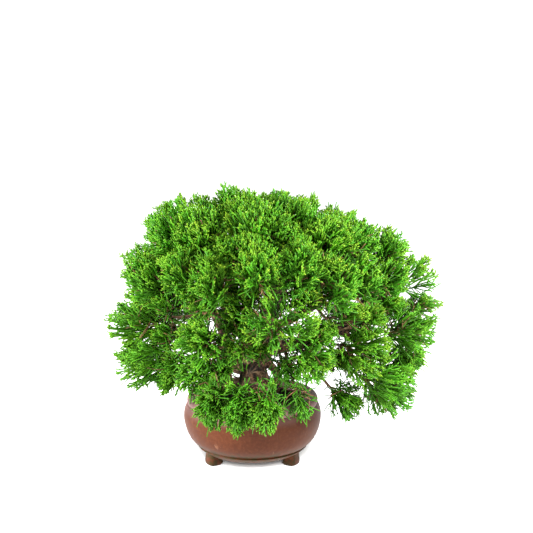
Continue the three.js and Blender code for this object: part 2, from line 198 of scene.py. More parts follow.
def fan(first, sides, apex, facing_back=False):
    """Triangles from the ring of points that starts at first to one apex."""
    around = np.arange(sides)
    after = (around + 1) % sides
    if facing_back:
        around, after = after, around
    return np.stack([first + around, first + after, np.full(sides, apex)], axis=1)


def tube(centres, radii, sides, closed_base=False):
    """A round tube with a blunt tip: its points, triangles and each point's share of the length."""
    centres = np.asarray(centres, float)
    radii = np.broadcast_to(np.asarray(radii, float), len(centres))
    ways = unit(np.gradient(centres, axis=0))
    side = unit(np.cross(ways[0], ODD_WAY))
    turn = np.linspace(0, 2 * math.pi, sides, endpoint=False)
    rings = []
    for centre, way, radius in zip(centres, ways, radii):
        side = unit(side - way * side.dot(way))
        rings.append(centre + radius * circled(turn, side, np.cross(way, side)))
    tip = centres[-1] + ways[-1] * radii[-1] * TIP_BULGE
    points = np.vstack(rings + [tip])
    last = (len(centres) - 1) * sides
    apex = len(points) - 1
    triangles = np.vstack([ring_faces(len(centres), sides), fan(last, sides, apex)])
    share = np.append(np.repeat(np.linspace(0, 1, len(centres)), sides), 1.0)
    if closed_base:
        points = np.vstack([points, centres[0] - ways[0] * radii[0] * BASE_BULGE])
        triangles = np.vstack([triangles, fan(0, sides, apex + 1, facing_back=True)])
        share = np.append(share, 0.0)
    return points, triangles, share


def gathered(parts):
    """Joins (points, triangles, values) parts into one set of arrays."""
    offset = 0
    all_points, all_triangles, all_values = [], [], []
    for points, triangles, values in parts:
        all_points.append(points)
        all_triangles.append(triangles + offset)
        all_values.append(values)
        offset += len(points)
    return np.vstack(all_points), np.vstack(all_triangles), np.concatenate(all_values)


# Curves

CURVE_STEPS = 24


def lengths_along(points):
    """The distance along a line to each of its points."""
    return np.append(0, np.cumsum(np.linalg.norm(np.diff(points, axis=0), axis=1)))


def sampled(at, steps, line):
    """Points on a line whose known points stand at the given steps."""
    line = np.asarray(line, float)
    return np.stack([np.interp(at, steps, line[:, axis]) for axis in range(3)], axis=-1)


def point_at(centres, at):
    """The point at a share of the way along a line of points."""
    return sampled(at, np.linspace(0, 1, len(centres)), centres)


def mixed(low_time, low, high_time, high, time):
    """What lies between low and high at a time between theirs."""
    span = high_time - low_time
    return (high_time - time) / span * low + (time - low_time) / span * high


def through(places, count):
    """Evenly spaced points on a centripetal Catmull-Rom curve through the places."""
    places = np.asarray(places, float)
    knots = np.vstack([2 * places[0] - places[1], places, 2 * places[-1] - places[-2]])
    fine = []
    for index in range(len(places) - 1):
        four = knots[index : index + 4]
        gaps = np.linalg.norm(np.diff(four, axis=0), axis=1)
        times = np.append(0, np.cumsum(np.maximum(gaps, 1e-4) ** 0.5))
        is_last = index == len(places) - 2
        time = np.linspace(times[1], times[2], CURVE_STEPS, endpoint=is_last)[:, None]
        lines = [mixed(times[i], four[i], times[i + 1], four[i + 1], time) for i in range(3)]
        bends = [mixed(times[i], lines[i], times[i + 2], lines[i + 1], time) for i in range(2)]
        fine.append(mixed(times[1], bends[0], times[2], bends[1], time))
    fine = np.vstack(fine)
    lengths = lengths_along(fine)
    return sampled(np.linspace(0, lengths[-1], count), lengths, fine)


# Materials

# A Mix node's colour sockets, by number because its other kinds of socket have the same names
FIRST_COLOUR, SECOND_COLOUR, MIXED_COLOUR = 6, 7, 2
MATT = 0.1

COOL_LEAF = [(0.0, (20, 60, 0)), (0.4, (35, 89, 3)), (0.75, (63, 101, 11)), (1.0, (94, 109, 27))]
WARM_LEAF = [(0.0, (30, 62, 2)), (0.4, (55, 93, 8)), (0.75, (86, 107, 15)), (1.0, (118, 118, 32))]
DRY_LEAF = [(0.3, (44, 28, 18)), (0.7, (88, 58, 40))]
# Bark colours from the cracks up to the ridges: painted shade near black in the cracks, painted highlight
# pale on the ridges, partly the bark's own tone
DULL_BARK = [(0.3, (20, 14, 8)), (0.5, (70, 52, 34)), (0.7, (122, 98, 68)), (0.9, (160, 136, 104))]
RED_BARK = [(0.3, (24, 14, 7)), (0.5, (78, 52, 32)), (0.7, (124, 90, 60)), (0.9, (156, 124, 92))]
# The colour of the painted shade on the wood near the soil
BARK_SHADE = (12, 8, 6)
CLAY = [(0.3, (58, 26, 9)), (0.5, (67, 31, 12)), (0.72, (81, 41, 19))]
CLAY_GRIT = [(0.3, (48, 20, 7)), (0.5, (67, 32, 14)), (0.75, (98, 60, 37))]
# The pale bloom is partly lime bloom and partly painted sheen; scuffs and moss are the clay's own marks
BLOOM_AND_SHEEN, SCUFF, MOSS = (128, 100, 96), (128, 88, 66), (40, 36, 12)
DARK_SOIL = [(0.3, (10, 7, 4)), (0.55, (26, 18, 12)), (0.8, (52, 38, 26))]
PALE_SOIL = [(0.3, (20, 14, 9)), (0.8, (72, 54, 38))]
PLASTIC = [(0.3, (22, 23, 22)), (0.7, (48, 49, 47))]
FLOOR = [(0.3, (248, 248, 248)), (0.7, (252, 252, 252))]

# Heights above the floor, in metres, over which the pale bloom, partly painted sheen on the upper body, comes
# in and moss goes out
BLOOM_AND_SHEEN_RISE = (0.056, 0.078)
MOSS_FALL = (0.02, 0.031)


class Material:
    """A node material round one Principled shader, with short calls that add and join nodes."""

    def __init__(self, name, roughness):
        self.material = bpy.data.materials.new(name)
        self.material.use_nodes = True
        self.nodes = self.material.node_tree.nodes
        self.links = self.material.node_tree.links
        self.shader = self.nodes["Principled BSDF"]
        self.finish("Roughness", roughness)
        self.place = self.add("ShaderNodeTexCoord").outputs["Object"]

    def add(self, kind, inputs=None, **settings):
        """A node, with a number, colour or other node's socket for some of its inputs."""
        node = self.nodes.new(kind)
        for setting, value in settings.items():
            setattr(node, setting, value)
        for socket, value in (inputs or {}).items():
            self.put(node.inputs[socket], value)
        return node

    def put(self, socket, value):
        if isinstance(value, bpy.types.NodeSocket):
            self.links.new(value, socket)
        else:
            socket.default_value = value

    def finish(self, socket, value):
        """Sets or joins one of the shader's own sockets."""
        self.put(self.shader.inputs[socket], value)

    def noise(self, scale, detail=3.0, roughness=0.55, place=None):
        place = self.place if place is None else place
        inputs = {"Vector": place, "Scale": scale, "Detail": detail, "Roughness": roughness}
        return self.add("ShaderNodeTexNoise", inputs).outputs["Fac"]

    def cells(self, scale):
        return self.add("ShaderNodeTexVoronoi", {"Vector": self.place, "Scale": scale}).outputs["Distance"]

    def stretched(self, scales):
        """The place, with each axis scaled by its own number."""
        node = self.add("ShaderNodeVectorMath", {0: self.place, 1: scales}, operation="MULTIPLY")
        return node.outputs["Vector"]

    def math(self, operation, first, second):
        return self.add("ShaderNodeMath", {0: first, 1: second}, operation=operation).outputs["Value"]

    def between(self, value, low, high):
        """0 below low and 1 above high, smooth in between."""
        inputs = {"Value": value, "From Min": low, "From Max": high}
        return self.add("ShaderNodeMapRange", inputs, interpolation_type="SMOOTHSTEP").outputs["Result"]

    def ramp(self, value, stops):
        node = self.add("ShaderNodeValToRGB", {"Fac": value})
        elements = node.color_ramp.elements
        while len(elements) < len(stops):
            elements.new(0.5)
        for element, (position, colour) in zip(elements, stops):
            element.position = position
            element.color = rgb(*colour)
        return node.outputs["Color"]

    def mix(self, share, first, second):
        """The first colour where share is 0, and the second where it is 1."""
        inputs = {"Factor": share, FIRST_COLOUR: first, SECOND_COLOUR: second}
        return self.add("ShaderNodeMix", inputs, data_type="RGBA").outputs[MIXED_COLOUR]

    def height(self):
        """Metres above the floor."""
        return self.add("ShaderNodeSeparateXYZ", {0: self.place}).outputs["Z"]

    def painted(self, attribute):
        """The red, green and blue parts of a colour attribute."""
        layer = self.add("ShaderNodeAttribute", attribute_name=attribute)
        node = self.add("ShaderNodeSeparateColor", {0: layer.outputs["Color"]})
        return node.outputs["Red"], node.outputs["Green"], node.outputs["Blue"]

    def bump(self, height, strength, distance):
        node = self.add("ShaderNodeBump", {"Strength": strength, "Distance": distance, "Height": height})
        self.finish("Normal", node.outputs["Normal"])


def rgb(red, green, blue):
    """A display colour of 0 to 255 as a linear one with full alpha."""

    def linear(value):
        value /= 255
        return value / 12.92 if value <= 0.04045 else ((value + 0.055) / 1.055) ** 2.4

    return (linear(red), linear(green), linear(blue), 1.0)


def foliage_material():
    """Painted red is how young the scales are, partly painted shade deep in sprays and low down; green varies
    by shoot, and blue is how woody.
    """
    made = Material("foliage", roughness=0.5)
    young, variety, woody = made.painted("growth")
    mottle = made.noise(scale=260, detail=2)
    age = made.math("ADD", young, made.math("MULTIPLY", made.math("SUBTRACT", mottle, 0.5), 0.22))
    leaf = made.mix(variety, made.ramp(age, COOL_LEAF), made.ramp(age, WARM_LEAF))
    made.finish("Base Color", made.mix(woody, leaf, made.ramp(mottle, DRY_LEAF)))
    made.finish("Specular IOR Level", MATT)
    made.bump(made.cells(scale=850), strength=0.35, distance=0.0004)
    return made.material


def bark_material():
    """Painted red is bark height: painted shade in its cracks, painted highlight on its ridges, partly its
    own tone; green is painted shade near the soil.
    """
    made = Material("bark", roughness=0.85)
    ridge, shade, _ = made.painted("bark")
    grain = made.add("ShaderNodeAttribute", attribute_name="grain").outputs["Vector"]
    fibres = made.noise(scale=1.0, detail=6, roughness=0.65, place=grain)
    height = made.math("ADD", made.math("MULTIPLY", ridge, 0.6), made.math("MULTIPLY", fibres, 0.5))
    patches = made.between(made.noise(scale=55), 0.42, 0.6)
    colour = made.mix(patches, made.ramp(height, DULL_BARK), made.ramp(height, RED_BARK))
    made.finish("Base Color", made.mix(shade, colour, rgb(*BARK_SHADE)))
    made.bump(height, strength=1.0, distance=0.0026)
    return made.material


def clay_material():
    """Unglazed red-brown clay with a pale bloom that is partly painted sheen up the body, fine grit, scuffs
    and moss in its low grooves.
    """
    made = Material("clay", roughness=0.52)
    up = made.height()
    fine = made.noise(scale=260, detail=4, roughness=0.7)
    streaks = made.noise(scale=1.0, detail=4, place=made.stretched((150, 150, 14)))
    clay = made.ramp(made.noise(scale=14, detail=4, roughness=0.6), CLAY)
    colour = made.mix(0.35, clay, made.ramp(fine, CLAY_GRIT))
    cloudy = made.between(made.noise(scale=45, detail=5), 0.22, 0.56)
    # Pale bloom up the body: partly lime bloom, partly painted sheen where the upper body catches the light
    bloom_and_sheen = made.math("MULTIPLY", made.between(up, *BLOOM_AND_SHEEN_RISE), cloudy)
    low = made.math("SUBTRACT", 1.0, made.between(up, *MOSS_FALL))
    moss = made.math("MULTIPLY", low, made.between(made.noise(scale=170, detail=5), 0.4, 0.56))
    scuffs = made.between(streaks, 0.62, 0.74)
    for share, strength, tint in ((bloom_and_sheen, 0.8, BLOOM_AND_SHEEN), (scuffs, 0.4, SCUFF), (moss, 0.8, MOSS)):
        colour = made.mix(made.math("MULTIPLY", share, strength), colour, rgb(*tint))
    made.finish("Base Color", colour)
    rough = made.add("ShaderNodeMapRange", {"Value": fine, "To Min": 0.42, "To Max": 0.64})
    made.finish("Roughness", rough.outputs["Result"])
    height = made.math("ADD", fine, made.math("MULTIPLY", streaks, 0.4))
    made.bump(height, strength=0.25, distance=0.0004)
    made.finish("Specular IOR Level", MATT)
    return made.material


def soil_material():
    made = Material("soil", roughness=0.95)
    lumps = made.noise(scale=300, detail=5, roughness=0.7)
    pale = made.between(made.noise(scale=120, detail=2), 0.58, 0.7)
    made.finish("Base Color", made.mix(pale, made.ramp(lumps, DARK_SOIL), made.ramp(lumps, PALE_SOIL)))
    made.finish("Specular IOR Level", MATT)
    made.bump(lumps, strength=0.8, distance=0.0012)
    return made.material


def plastic_material():
    made = Material("plastic", roughness=0.5)
    scuffs = made.noise(scale=400, detail=4)
    made.finish("Base Color", made.ramp(scuffs, PLASTIC))
    made.bump(scuffs, strength=0.2, distance=0.0002)
    return made.material


# Pot: a turned bowl with two grooves, a rolled lip, a drain hole and three toed feet

POT_SIDES = 144
UNDERSIDE = 14.8
POT_FLOOR = 22.5
DRAIN_RADIUS = 8.0
DRAIN_BEVEL = 0.8
BASE_RADIUS = 55.0
OPENING_RADIUS = 61.0
LIP = {"radius": 70.0, "height": 76.0, "across": 8.6, "up": 8.0}

# The outside of the bowl, as radius and height, in four stretches from the underside to the lip
FOOT_RING = [(BASE_RADIUS, UNDERSIDE), (57.8, 15.4), (60.2, 16.9), (63.8, 19.4), (66.2, 21.6)]
LOW_GROOVE = [(66.2, 21.6), (65.9, 22.1), (65.2, 22.7), (65.5, 23.3), (66.4, 23.8)]
BELLY = [(66.4, 23.8), (71, 27.6), (75.6, 33.2), (78.9, 39.6), (81.4, 47.5), (82.6, 55), (82.4, 62),
         (80.6, 68.4), (79.2, 71)]
NECK = [(79.2, 71), (78.4, 71.9), (77.6, 72.4), (77.6, 73.2), (78.3, 74)]
INSIDE = [(OPENING_RADIUS, 74), (66, 58), (67, 46), (61, 31), (50, POT_FLOOR)]

FOOT = {"ring": 54.0, "width": 20.5, "depth": 16.0, "height": 19.0}
FOOT_ANGLES = (-150, -30, 90)
FOOT_SIDES = 40
FOOT_CORNER = 0.68
# Heights up a foot, the foot's size at each, and how far its toe reaches forward up its height
FOOT_LEVELS = [0.0, 0.35, 1.2, 2.6, 4.6, 7.0, 9.5, 12.0, 14.5, 17.0, FOOT["height"]]
FOOT_SWELL = [0.8, 0.88, 0.95, 0.99, 1.0, 0.98, 0.94, 0.91, 0.92, 0.96, 1.0]
TOE_LEVELS, TOE_REACH = [0, 3, 9, 15], [1.2, 1.35, 0.95, 0.8]


def smooth_outline(places, count):
    flat = np.array([[radius, 0.0, height] for radius, height in places])
    return through(flat, count)[:, [0, 2]]


def pot_wall():
    """The outside of the bowl, from the foot ring's edge to the groove under the lip."""
    stretches = [(FOOT_RING, 14), (LOW_GROOVE, 10), (BELLY, 60), (NECK, 8)]
    smooth = [smooth_outline(places, count) for places, count in stretches]
    return np.vstack([smooth[0]] + [stretch[1:] for stretch in smooth[1:]])


def pot_outline():
    turn = np.linspace(-0.2, math.pi * 0.92, 26)
    lip_radius = LIP["radius"] + LIP["across"] * np.cos(turn)
    lip_height = LIP["height"] + LIP["up"] * np.sin(turn)
    lip = np.stack([lip_radius, lip_height], axis=1)
    edge = DRAIN_RADIUS + 1
    middle = 30
    floor = np.array([(middle, POT_FLOOR), (edge, POT_FLOOR), (DRAIN_RADIUS, POT_FLOOR - DRAIN_BEVEL)])
    below = np.array([(DRAIN_RADIUS, UNDERSIDE + DRAIN_BEVEL), (edge, UNDERSIDE), (middle, UNDERSIDE)])
    return np.vstack([below, pot_wall(), lip, smooth_outline(INSIDE, 22), floor, below[:1]])


def turned(outline, sides):
    """The points of an outline turned round the pot's axis."""
    turn = np.linspace(0, 2 * math.pi, sides, endpoint=False)
    radius = outline[:, 0][:, None]
    height = np.broadcast_to(outline[:, 1][:, None], (len(outline), sides))
    return np.stack([radius * np.cos(turn), radius * np.sin(turn), height], axis=-1).reshape(-1, 3)


def squared(wave):
    """Swells a sine or cosine, so that it draws a block with round corners, not a circle."""
    return np.sign(wave) * np.abs(wave) ** FOOT_CORNER


def foot_mesh(angle):
    """A toed foot: rounded block, waisted above the toe and spreading again under the bowl."""
    turn = np.linspace(0, 2 * math.pi, FOOT_SIDES, endpoint=False)
    across, along = squared(np.cos(turn)), squared(np.sin(turn))
    rings = []
    for level, size in zip(FOOT_LEVELS, FOOT_SWELL):
        toe = np.where(along > 0, np.interp(level, TOE_LEVELS, TOE_REACH), 1.0)
        x = across * (size * FOOT["width"] / 2)
        y = along * toe * (size * FOOT["depth"] / 2)
        rings.append(np.stack([x, y, np.full(FOOT_SIDES, level)], axis=1))
    points = np.vstack(rings + [[[0, 0, 0.0]], [[0, 0, FOOT["height"]]]])
    points[:, 2] += GROUND
    points[:, 1] -= FOOT["ring"]
    last = (len(FOOT_LEVELS) - 1) * FOOT_SIDES
    sole = last + FOOT_SIDES
    sides = ring_faces(len(FOOT_LEVELS), FOOT_SIDES)
    caps = [fan(0, FOOT_SIDES, sole, facing_back=True), fan(last, FOOT_SIDES, sole + 1)]
    facing = math.radians(angle + 90)
    cos, sin = math.cos(facing), math.sin(facing)
    spin = np.array([[cos, -sin, 0], [sin, cos, 0], [0, 0, 1]])
    return points @ spin.T, np.vstack([sides, *caps])


def add_pot(material):
    outline = pot_outline()
    points = turned(outline, POT_SIDES)
    wobble = 0.35 * noise_at(points * 0.03) + 0.12 * noise_at(points * 0.16)
    outward = unit(points * [1, 1, 0])
    away_from_floor = np.clip((points[:, 2] - 22) / 8, 0, 1)
    points = points + outward * (wobble * away_from_floor)[:, None]
    shapes = [(points, ring_faces(len(outline), POT_SIDES))]
    shapes += [foot_mesh(angle) for angle in FOOT_ANGLES]
    points, triangles, _ = gathered([(*shape, np.zeros(len(shape[0]))) for shape in shapes])
    made = mesh_object("pot_body", points, triangles)
    dress(made, material, "clay", "pot")


# Soil: a low lumpy mound of dark grains

SOIL_SIDES = 120
SOIL_EDGE = 74.0
SOIL_MOUND = 3.5
# Where the soil lies along the pot's inside, as radius and height, from the floor up
SOIL_WALL = [(49, POT_FLOOR + 1.6), (60, 31.6), (66.2, 46), (65.2, 57.6), (60.7, 71)]
SURFACE_RADII = [*np.linspace(60.2, 2.0, 46), 0.4]
GRAIN_COUNT = 1300
GRAIN_RING = 59.0
GRAIN_SIZES, GRAIN_SHARES = [0.8, 1.2, 1.9], [0.5, 0.38, 0.12]


def soil_height(x, y):
    share = np.hypot(x, y) / OPENING_RADIUS
    return SOIL_EDGE + SOIL_MOUND * (1 - share**2)


def add_soil(material):
    random = np.random.default_rng(31)
    rings = SOIL_WALL + [(radius, 0.0) for radius in SURFACE_RADII]
    points = turned(np.array(rings), SOIL_SIDES)
    top = slice(len(SOIL_WALL) * SOIL_SIDES, None)
    flat = points[top] * [1, 1, 0]
    lumps = 1.1 * noise_at(flat * 0.09 + [0, 0, 1]) + 0.8 * noise_at(flat * 0.35 + [0, 0, 4])
    points[top, 2] = soil_height(flat[:, 0], flat[:, 1]) + lumps
    parts = [(points, ring_faces(len(rings), SOIL_SIDES), np.zeros(len(points)))]
    grain, grain_triangles = grain_shape()
    for _ in range(GRAIN_COUNT):
        radius = GRAIN_RING * math.sqrt(random.random())
        turn = random.uniform(0, 2 * math.pi)
        x, y = radius * math.cos(turn), radius * math.sin(turn)
        size = random.uniform(0.7, 1.0) * random.choice(GRAIN_SIZES, p=GRAIN_SHARES)
        squash = random.uniform(0.6, 1.0, 3) * size
        lump = grain * squash * random.uniform(0.85, 1.15, (len(grain), 1))
        lump = lump @ spun(random).T + [x, y, soil_height(x, y) + 0.3 * size]
        parts.append((lump, grain_triangles, np.zeros(len(lump))))
    points, triangles, _ = gathered(parts)
    made = mesh_object("soil_and_grains", points, triangles)
    dress(made, material, "soil", "soil")


def grain_shape():
    """An icosahedron of radius 1."""
    long = (1 + math.sqrt(5)) / 2
    points = []
    for a in (-1, 1):
        for b in (-long, long):
            points += [(a, b, 0), (0, a, b), (b, 0, a)]
    points = unit(points)
    triangles = []
    edge = min(np.linalg.norm(points[0] - other) for other in points[1:]) * 1.01
    for i in range(12):
        for j in range(i + 1, 12):
            for k in range(j + 1, 12):
                corners = points[[i, j, k]]
                gaps = [np.linalg.norm(corners[m] - corners[m - 1]) for m in range(3)]
                if max(gaps) < edge:
                    out = np.cross(corners[1] - corners[0], corners[2] - corners[0]).dot(corners[0]) > 0
                    triangles.append((i, j, k) if out else (i, k, j))
    return points, np.array(triangles)


def spun(random):
    """A random turn as a 3 by 3 matrix."""
    a = unit(random.normal(size=3))
    b = unit(np.cross(a, random.normal(size=3)))
    return np.stack([a, b, np.cross(a, b)], axis=1)


# Wood: every limb is a list of places along it, with the limb's radius at each

LIMBS = {
    "trunk": [(12, -4, 80, 16), (10, -6, 92, 14.5), (4, -10, 108, 15), (0, -13, 123, 18), (8, -9, 142, 14.5),
              (14, -1, 162, 11), (26, 5, 196, 8.5), (40, 5, 226, 6), (34, 4, 250, 4)],
    "left": [(-4, -13, 119, 13), (-20, -14, 125, 11), (-32, -10, 142, 8), (-33, -5, 168, 5.5),
             (-32, 0, 197, 5), (-42, 0, 226, 4), (-50, 0, 248, 3)],
    "root_right": [(10, -8, 128, 7), (24, -12, 118, 5), (31, -13, 102, 4.5), (26, -10, 88, 5),
                   (21, -8, 78, 5.5)],
    "left_low": [(-22, -13, 133, 6), (-48, -14, 137, 5), (-72, -12, 143, 4), (-92, -8, 158, 3)],
    "left_high": [(-35, -3, 176, 5), (-56, -8, 193, 4), (-80, -12, 206, 3)],
    "right": [(6, -9, 138, 10), (34, -14, 143, 8), (64, -19, 150, 6.5), (94, -24, 167, 6),
              (115, -25, 173, 6.5), (121, -18, 187, 5), (137, -9, 200, 4), (156, -4, 209, 3)],
    "right_arm": [(113, -25, 174, 5.5), (106, -21, 196, 4.5), (103, -14, 216, 3.5), (108, -10, 236, 3)],
    "right_low": [(98, -24, 168, 5), (122, -26, 152, 4), (140, -22, 130, 3)],
    "front_low": [(2, -14, 118, 8), (-4, -42, 124, 6), (-10, -66, 122, 4.5), (-12, -84, 114, 3)],
    "front_high": [(13, -4, 160, 7), (20, -34, 178, 5.5), (26, -60, 200, 4), (28, -76, 222, 3)],
    "back_high": [(24, 4, 190, 6), (30, 38, 208, 5), (24, 66, 228, 4), (18, 78, 246, 3)],
    "back_low": [(10, -4, 146, 8), (16, 34, 152, 6.5), (22, 68, 156, 5), (20, 92, 160, 3.5)],
    "back_left": [(-34, -6, 160, 6), (-48, 30, 176, 5), (-62, 58, 190, 3.5)],
    "back_right": [(20, 40, 154, 6), (56, 54, 166, 5), (88, 66, 182, 3.5)],
}
LIMB_STEP = 2.5
LIMB_SIDES = 20
ROOT_PLUG = {"x": 12.0, "y": -4.0, "radius": 18.5, "foot": 12.0, "top": 80.0, "bottom": 44.0}
PLUG_SHOULDER = [1, 1, 1, 1, 1, 1, 0.96, 0.8]
# Short roots that flare into the soil round the plug: where each points, its length and radius
FLARES = [(200, 19, 5.5), (250, 20, 6.5), (305, 20, 6), (350, 18, 5), (60, 18, 6), (120, 19, 6)]
WOOD_VOXEL = 1.15
TWIG_ROOT, TWIG_END = 2.6, 1.5
TWIG_POINTS = 14
TWIG_SEED = 5

# Pads: the rounded masses of foliage, each with its middle, half sizes, sprays and fullness

PADS = [
    ("crown_left", (-34, 0, 293), (38, 48, 38), 2, 1.15),
    ("crown_middle", (14, -10, 291), (38, 48, 38), 2, 1.15),
    ("crown_right", (70, 0, 283), (38, 48, 35), 2, 1.15),
    ("crown_back", (12, 78, 266), (52, 40, 36), 1, 1.0),
    ("shoulder_left", (-85, -20, 276), (50, 52, 40), 2, 1.1),
    ("shoulder_right", (114, -10, 264), (36, 48, 36), 2, 1.1),
    ("bump_right", (156, 8, 252), (30, 38, 30), 1, 0.9),
    ("far_right", (188, 0, 221), (34, 36, 33), 1, 0.4),
    ("right_upper", (154, -18, 222), (32, 34, 34), 1, 1.0),
    ("right_side", (180, 0, 163), (41, 60, 40), 2, 0.65),
    ("right_hanging", (154, -20, 103), (44, 56, 46), 2, 0.7),
    ("right_tassel", (104, -32, 88), (26, 24, 32), 1, 0.75),
    ("brow_left", (-58, -52, 278), (46, 40, 38), 1, 1.15),
    ("brow_middle", (12, -62, 284), (46, 40, 38), 1, 1.15),
    ("brow_right", (78, -54, 272), (46, 40, 38), 1, 1.15),
    ("front_belt", (31, -106, 248), (54, 40, 38), 2, 1.1),
    ("front_left", (-54, -86, 236), (46, 42, 38), 2, 1.0),
    ("front_right", (104, -78, 228), (46, 44, 36), 2, 1.0),
    ("front_middle", (30, -106, 192), (52, 32, 34), 1, 1.0),
    ("front_low_left", (-52, -84, 166), (40, 36, 36), 1, 0.9),
    ("front_low_right", (64, -70, 148), (44, 32, 40), 1, 0.9),
    ("right_inner", (124, -42, 146), (40, 34, 40), 1, 0.8),
    ("left_inner", (-54, -68, 128), (44, 32, 32), 1, 1.0),
    ("centre_left", (-10, -66, 204), (36, 30, 42), 1, 1.0),
    ("over_pot_right", (54, -96, 108), (24, 26, 32), 1, 0.8),
    ("over_pot", (-12, -112, 104), (56, 34, 36), 3, 1.0),
    ("left_high", (-112, -16, 226), (46, 64, 36), 2, 0.85),
    ("left_side", (-126, 0, 173), (47, 64, 37), 2, 0.66),
    ("left_low", (-119, -18, 132), (47, 58, 34), 2, 0.62),
    ("back_left", (-74, 84, 232), (48, 44, 42), 2, 0.95),
    ("back_right", (98, 84, 236), (50, 44, 42), 2, 0.95),
    ("back_middle", (14, 122, 204), (52, 36, 42), 2, 0.95),
    ("back_low_left", (-82, 92, 156), (48, 42, 40), 1, 0.8),
    ("back_low_right", (118, 88, 158), (50, 42, 42), 1, 0.8),
    ("back_low", (20, 122, 128), (52, 34, 36), 1, 0.85),
]
HEART = np.array([15.0, 0.0, 165.0])
WIDTH_SHARE = {1: 1.0, 2: 0.6, 3: 0.46}
ROOT_DEPTH = 0.62


def sprays_of(pad):
    """The sprays of a pad stand side by side across the way that the pad faces."""
    name, middle, half, count, fullness = pad
    middle, half = np.array(middle, float), np.array(half, float)
    out = unit(middle - HEART)
    across = np.array([-out[1], out[0], 0.0])
    if np.linalg.norm(across) < 0.45:
        across = np.array([1.0, 0.0, 0.0])
    across = unit(across - out * across.dot(out))
    upward = np.cross(out, across)
    reach = [1 / np.linalg.norm(way / half) for way in (across, upward, out)]
    width = WIDTH_SHARE[count]
    made = []
    for index in range(count):
        slot = 2 * index / (count - 1) - 1 if count > 1 else 0
        centre = middle + across * slot * reach[0] * (1 - width)
        own = unit(centre - HEART)
        made.append({
            "node": f"spray_{name}_{index + 1}",
            "centre": centre,
            "axes": np.stack([across, upward, unit((own + out) / 2)]),
            "reach": np.array([reach[0] * width, reach[1], reach[2]]),
            "fullness": fullness,
        })
    return made


SPRAYS = [spray for pad in PADS for spray in sprays_of(pad)]

# Small bunches that close the canopy where sprays meet: the pad whose first spray each is one
# piece with, its middle and its half sizes

BUNCHES = [
    ("front_low_left", (-14, -88, 158), (22, 24, 28)),
    ("front_right", (54, -90, 214), (30, 26, 26)),
    ("front_left", (-22, -84, 260), (26, 26, 28)),
    ("front_low_right", (38, -64, 134), (22, 22, 22)),
    ("front_low_right", (76, -56, 170), (24, 22, 18)),
    ("right_inner", (100, -36, 134), (20, 22, 18)),
    ("right_inner", (134, -44, 184), (22, 22, 20)),
    ("left_inner", (-30, -62, 130), (22, 22, 20)),
    ("right_upper", (156, -10, 190), (24, 26, 22)),
    ("brow_left", (-24, -66, 262), (28, 28, 30)),
    ("brow_middle", (48, -70, 268), (28, 28, 30)),
    ("brow_middle", (4, -88, 266), (28, 24, 24)),
    ("brow_left", (-8, -36, 298), (28, 30, 28)),
    ("brow_right", (50, -34, 294), (28, 30, 28)),
    ("brow_right", (100, -44, 272), (28, 30, 28)),
    ("shoulder_left", (-82, -44, 246), (30, 32, 28)),
    ("front_left", (-50, -78, 206), (28, 26, 28)),
    ("front_right", (78, -94, 246), (28, 26, 26)),
    ("left_side", (-96, -30, 196), (28, 30, 26)),
    ("right_inner", (110, -52, 190), (26, 24, 26)),
    ("left_low", (-86, -40, 128), (26, 28, 24)),
    ("left_side", (-96, -30, 160), (26, 28, 22)),
    ("left_low", (-90, -36, 115), (30, 26, 22)),
    ("centre_left", (-13, -60, 177), (18, 20, 18)),
    ("front_low_left", (6, -58, 153), (18, 16, 14)),
    ("right_hanging", (183, -4, 128), (24, 26, 22)),
    ("right_side", (196, -6, 190), (26, 26, 17)),
    ("crown_back", (-20, 48, 276), (32, 30, 30)),
    ("crown_back", (42, 46, 278), (32, 30, 30)),
    ("crown_back", (12, 42, 290), (34, 28, 28)),
    ("back_left", (-74, 44, 250), (32, 30, 30)),
    ("back_right", (100, 44, 252), (32, 30, 30)),
    ("back_low_left", (-90, 52, 188), (30, 30, 28)),
    ("back_low_right", (130, 48, 196), (32, 30, 28)),
    ("back_middle", (18, 104, 242), (34, 28, 28)),
    ("back_middle", (-34, 108, 190), (28, 26, 28)),
    ("back_middle", (68, 108, 192), (28, 26, 28)),
]


def bunches_of(spray):
    name = spray["node"].removeprefix("spray_").removesuffix("_1")
    pads = [(pad, middle, half, 1, spray["fullness"]) for pad, middle, half in BUNCHES if pad == name]
    return [bunch for pad in pads for bunch in sprays_of(pad)]


def limb_paths():
    """Each limb's points, a step apart, with the radius at each."""
    paths = []
    for places in LIMBS.values():
        places = np.array(places, float)
        length = lengths_along(through(places[:, :3], 60))[-1]
        points = through(places[:, :3], max(int(length / LIMB_STEP), 8))
        share = np.linspace(0, len(places) - 1, len(points))
        radii = np.interp(share, np.arange(len(places)), places[:, 3])
        paths.append((points, radii))
    return paths


def twig_starts():
    """Places on the limbs from which twigs may leave."""
    starts = []
    for name, places in LIMBS.items():
        places = np.array(places, float)
        steps = 12 if name == "trunk" else math.ceil((len(places) - 1) * 1.5)
        for index, point in enumerate(through(places[:, :3], 2 * steps + 1)):
            radius = places[round(index / (2 * steps) * (len(places) - 1)), 3]
            if radius < 9 and index > 1:
                starts.append((point, radius))
    return starts


def twig_paths():
    """The twig that carries each spray, from the nearest limb to the spray's root."""
    starts = twig_starts()
    paths = []
    for spray in SPRAYS + [bunch for spray in SPRAYS for bunch in bunches_of(spray)]:
        out = spray["axes"][2]
        end = spray["centre"] - ROOT_DEPTH * spray["reach"][2] * out
        costs = [1.6 * np.linalg.norm(end - point) - (end - point).dot(out) for point, _ in starts]
        origin, radius = starts[int(np.argmin(costs))]
        bend = (origin + end) / 2 - 3 * out
        path = through([origin, bend, end - 6 * out, end], TWIG_POINTS)
        paths.append((path, np.linspace(min(TWIG_ROOT, radius * 0.8), TWIG_END, TWIG_POINTS)))
    return paths


def values_of(items, attribute, size, kind=np.float32):
    """An attribute of a mesh's items, in one row of numbers, size numbers for each item."""
    found = np.empty(len(items) * size, kind)
    items.foreach_get(attribute, found)
    return found


